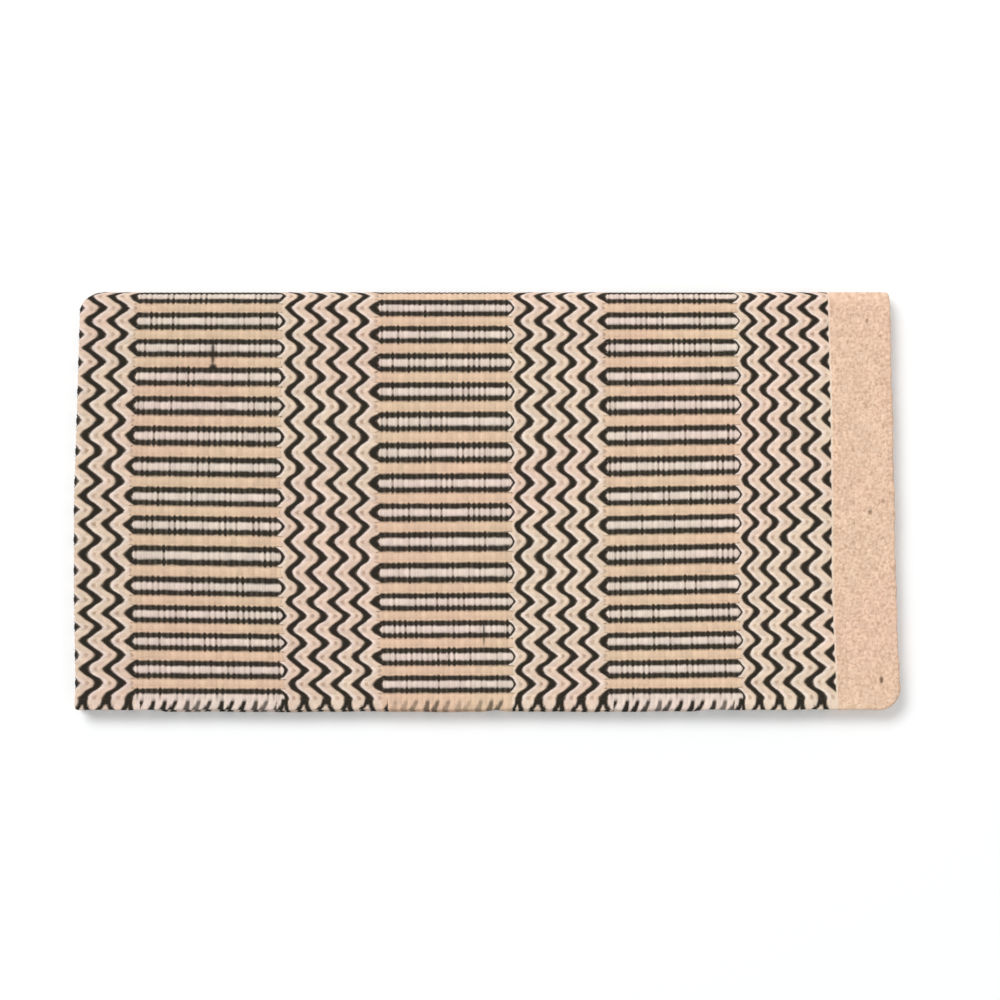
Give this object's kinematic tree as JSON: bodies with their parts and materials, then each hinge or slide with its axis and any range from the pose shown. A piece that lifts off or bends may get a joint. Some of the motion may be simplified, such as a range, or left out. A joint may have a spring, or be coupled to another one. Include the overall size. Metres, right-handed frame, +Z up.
{
  "type": "saddle blanket",
  "caption": "Thick wool saddle blanket folded in quarters, woven in zigzag and bar bands with plain end borders; its upper leaves open over the spine fold.",
  "frame": {"origin": "centre of the underside of the folded blanket", "axes": "+X along the blanket's length, from the length fold to the woven ends; +Y from the selvages to the spine fold; +Z up through the stack of leaves"},
  "size_m": [0.8114, 0.415, 0.0236],
  "materials": {
    "zigzag_weave": "weft-faced wool, black zigzags on cream and tan",
    "bar_weave": "weft-faced wool, cream, black and tan bars",
    "border_weave": "weft-faced wool, plain tan",
    "selvage_cord": "wool weft turned round doubled edge warps",
    "end_cord": "twined wool cord, plain tan",
    "warp_cord": "hard-spun undyed warp cords"
  },
  "bodies": {
    "lower_leaves": {"bottom_leaf_middle_zigzag": "zigzag_weave", "bottom_leaf_first_bars": "bar_weave", "bottom_leaf_first_zigzag": "zigzag_weave", "bottom_leaf_second_bars": "bar_weave", "bottom_leaf_second_zigzag": "zigzag_weave", "bottom_leaf_third_bars": "bar_weave", "bottom_leaf_third_zigzag": "zigzag_weave", "bottom_leaf_end_border": "border_weave", "bottom_leaf_end_cord": "end_cord", "lower_inner_leaf_middle_zigzag": "zigzag_weave", "lower_inner_leaf_first_bars": "bar_weave", "lower_inner_leaf_first_zigzag": "zigzag_weave", "lower_inner_leaf_second_bars": "bar_weave", "lower_inner_leaf_second_zigzag": "zigzag_weave", "lower_inner_leaf_third_bars": "bar_weave", "lower_inner_leaf_third_zigzag": "zigzag_weave", "lower_inner_leaf_end_border": "border_weave", "lower_inner_leaf_end_cord": "end_cord", "lower_length_fold": "zigzag_weave", "lower_selvage_cord": "selvage_cord", "lower_warps": "warp_cord", "lower_spine_edge": "zigzag_weave"},
    "spine_segment_1": {"spine_segment_1": "zigzag_weave"},
    "spine_segment_2": {"spine_segment_2": "zigzag_weave"},
    "upper_leaves": {"upper_inner_leaf_middle_zigzag": "zigzag_weave", "upper_inner_leaf_first_bars": "bar_weave", "upper_inner_leaf_first_zigzag": "zigzag_weave", "upper_inner_leaf_second_bars": "bar_weave", "upper_inner_leaf_second_zigzag": "zigzag_weave", "upper_inner_leaf_third_bars": "bar_weave", "upper_inner_leaf_third_zigzag": "zigzag_weave", "upper_inner_leaf_end_border": "border_weave", "upper_inner_leaf_end_cord": "end_cord", "top_leaf_middle_zigzag": "zigzag_weave", "top_leaf_first_bars": "bar_weave", "top_leaf_first_zigzag": "zigzag_weave", "top_leaf_second_bars": "bar_weave", "top_leaf_second_zigzag": "zigzag_weave", "top_leaf_third_bars": "bar_weave", "top_leaf_third_zigzag": "zigzag_weave", "top_leaf_end_border": "border_weave", "top_leaf_end_cord": "end_cord", "upper_length_fold": "zigzag_weave", "upper_selvage_cord": "selvage_cord", "upper_warps": "warp_cord", "upper_spine_edge": "zigzag_weave"}
  },
  "joints": [
    {"name": "spine_fold", "type": "hinge", "parent": "lower_leaves", "child": "spine_segment_1", "pos_m": [0, 0.20251, 0], "axis": [-1, 0, 0], "range_deg": [0, 60]},
    {"name": "spine_fold_2", "type": "hinge", "parent": "spine_segment_1", "child": "spine_segment_2", "pos_m": [0, 0.20933, 0.0118], "axis": [-1, 0, 0], "range_deg": [0, 60]},
    {"name": "spine_fold_3", "type": "hinge", "parent": "spine_segment_2", "child": "upper_leaves", "pos_m": [0, 0.20251, 0.0236], "axis": [-1, 0, 0], "range_deg": [0, 60]}
  ],
  "couplings": [
    {"joint": "spine_fold_2", "follows": "spine_fold", "ratio": 1},
    {"joint": "spine_fold_3", "follows": "spine_fold", "ratio": 1}
  ]
}
